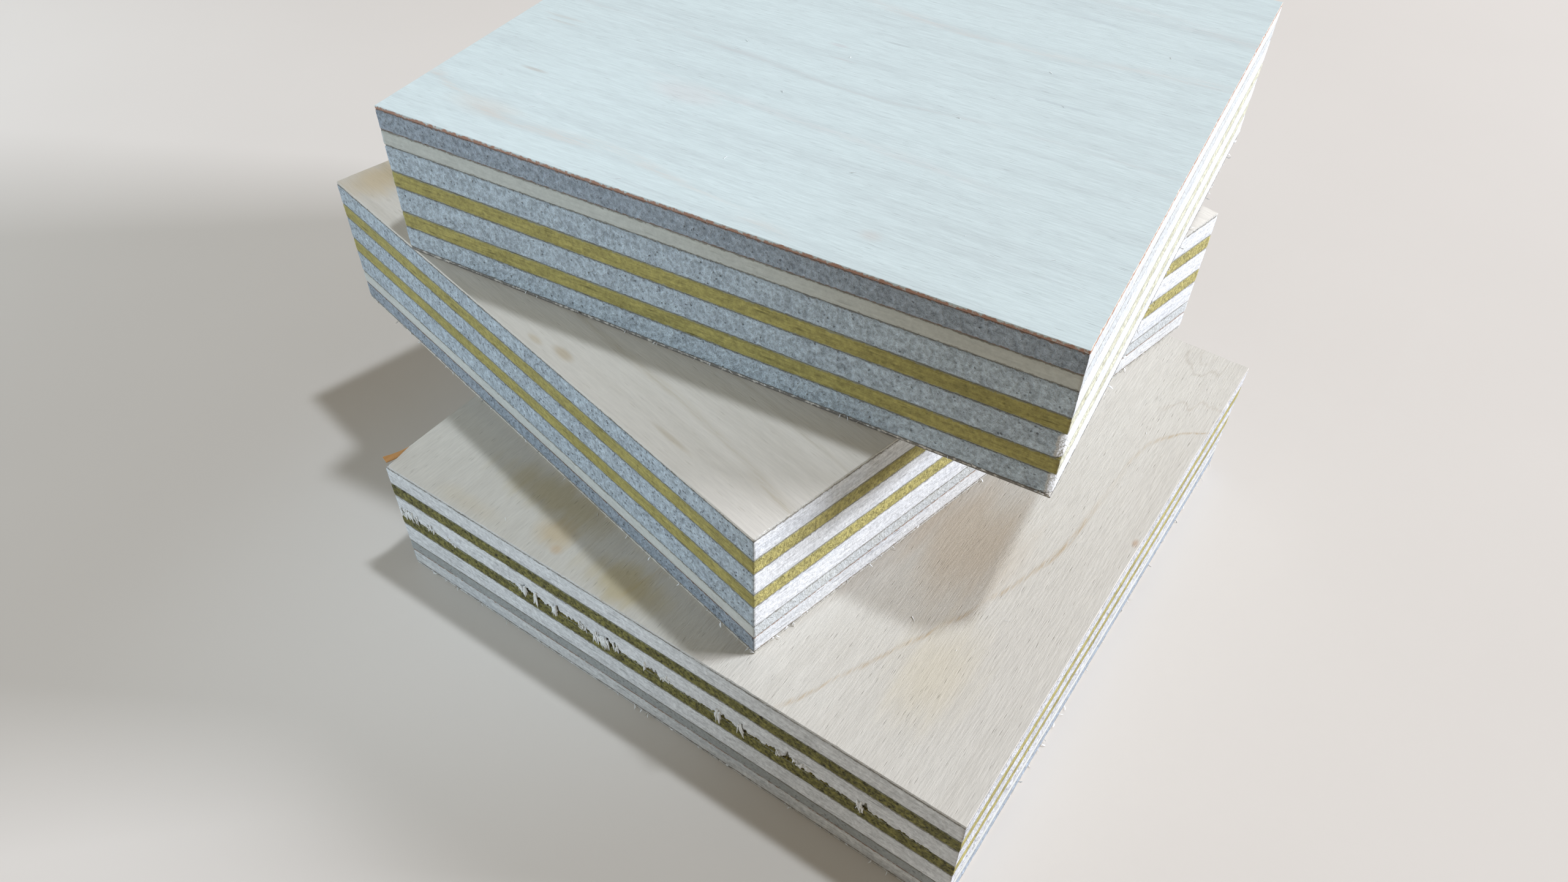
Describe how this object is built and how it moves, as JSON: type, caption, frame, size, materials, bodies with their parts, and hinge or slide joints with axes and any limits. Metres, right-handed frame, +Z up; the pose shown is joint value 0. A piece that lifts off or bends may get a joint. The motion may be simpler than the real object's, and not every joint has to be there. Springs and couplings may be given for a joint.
{
  "type": "stack of plywood sheets",
  "caption": "Stack of small square plywood sheets laid flat on each other, each turned a little, with every ply showing on the sawn sides.",
  "frame": {"origin": "middle of the bottom sheet's underside, on the surface that the stack lies on", "axes": "+Z up; X and Y along the bottom sheet's sides, with its face grain along Y; the picture looks from the corner between +X and -Y"},
  "size_m": [0.1014, 0.0974, 0.0546],
  "materials": {
    "face_veneer": "sanded, bare",
    "pale_crossband": "sawn, bare",
    "olive_longband": "sawn, bare",
    "cream_longband": "sawn, bare"
  },
  "bodies": {
    "root": {"bottom_sheet_face_veneer": "face_veneer", "bottom_sheet_crossband_1": "pale_crossband", "bottom_sheet_olive_longband_1": "olive_longband", "bottom_sheet_crossband_2": "pale_crossband", "bottom_sheet_olive_longband_2": "olive_longband", "bottom_sheet_crossband_3": "pale_crossband", "bottom_sheet_cream_longband": "cream_longband", "bottom_sheet_crossband_4": "pale_crossband", "bottom_sheet_back_veneer": "face_veneer", "middle_sheet_face_veneer": "face_veneer", "middle_sheet_crossband_1": "pale_crossband", "middle_sheet_olive_longband_1": "olive_longband", "middle_sheet_crossband_2": "pale_crossband", "middle_sheet_olive_longband_2": "olive_longband", "middle_sheet_crossband_3": "pale_crossband", "middle_sheet_cream_longband": "cream_longband", "middle_sheet_crossband_4": "pale_crossband", "middle_sheet_back_veneer": "face_veneer", "top_sheet_face_veneer": "face_veneer", "top_sheet_crossband_1": "pale_crossband", "top_sheet_olive_longband_1": "olive_longband", "top_sheet_crossband_2": "pale_crossband", "top_sheet_olive_longband_2": "olive_longband", "top_sheet_crossband_3": "pale_crossband", "top_sheet_cream_longband": "cream_longband", "top_sheet_crossband_4": "pale_crossband", "top_sheet_back_veneer": "face_veneer"}
  },
  "joints": []
}
